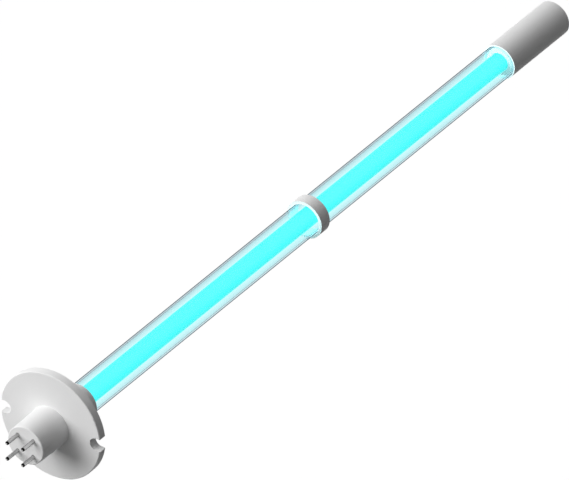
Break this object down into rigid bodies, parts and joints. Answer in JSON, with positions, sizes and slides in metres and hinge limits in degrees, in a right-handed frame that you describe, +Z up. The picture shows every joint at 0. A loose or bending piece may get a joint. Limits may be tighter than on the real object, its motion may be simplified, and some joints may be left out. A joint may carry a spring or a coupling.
{
  "type": "ultraviolet germicidal lamp tube",
  "caption": "Slim glowing discharge lamp inside a clear sleeve, with a round notched flange, a hub with contact pins, a middle ring and a closed end cap.",
  "frame": {"origin": "on the lamp's axis, in the rear face of the flange disc, which seats on the duct wall", "axes": "+Y along the lamp from the pins to the cap, +Z up, the two screw notches at +X and -X"},
  "size_m": [0.0854, 0.6596, 0.086],
  "materials": {
    "moulded_white": "white moulded plastic, satin",
    "pin_metal": "nickel-plated, turned",
    "clear_sleeve": "clear fused glass, ground ends",
    "lamp_glass": "clear quartz, lit from inside",
    "ferrule_ceramic": "unglazed white ceramic",
    "wire_cover": "white insulating tube",
    "electrode_metal": "nickel rods, and a tungsten filament with a pale coating"
  },
  "bodies": {
    "root": {"mounting_flange": "moulded_white", "middle_collar": "moulded_white", "end_cap": "moulded_white", "contact_pin_1": "pin_metal", "contact_pin_2": "pin_metal", "contact_pin_3": "pin_metal", "contact_pin_4": "pin_metal", "outer_sleeve": "clear_sleeve", "lamp_tube": "lamp_glass", "near_ferrule": "ferrule_ceramic", "far_ferrule": "ferrule_ceramic", "near_wire_1": "wire_cover", "near_wire_2": "wire_cover", "return_wire_1": "wire_cover", "return_wire_2": "wire_cover", "near_electrode": "electrode_metal", "far_electrode": "electrode_metal"}
  },
  "joints": []
}
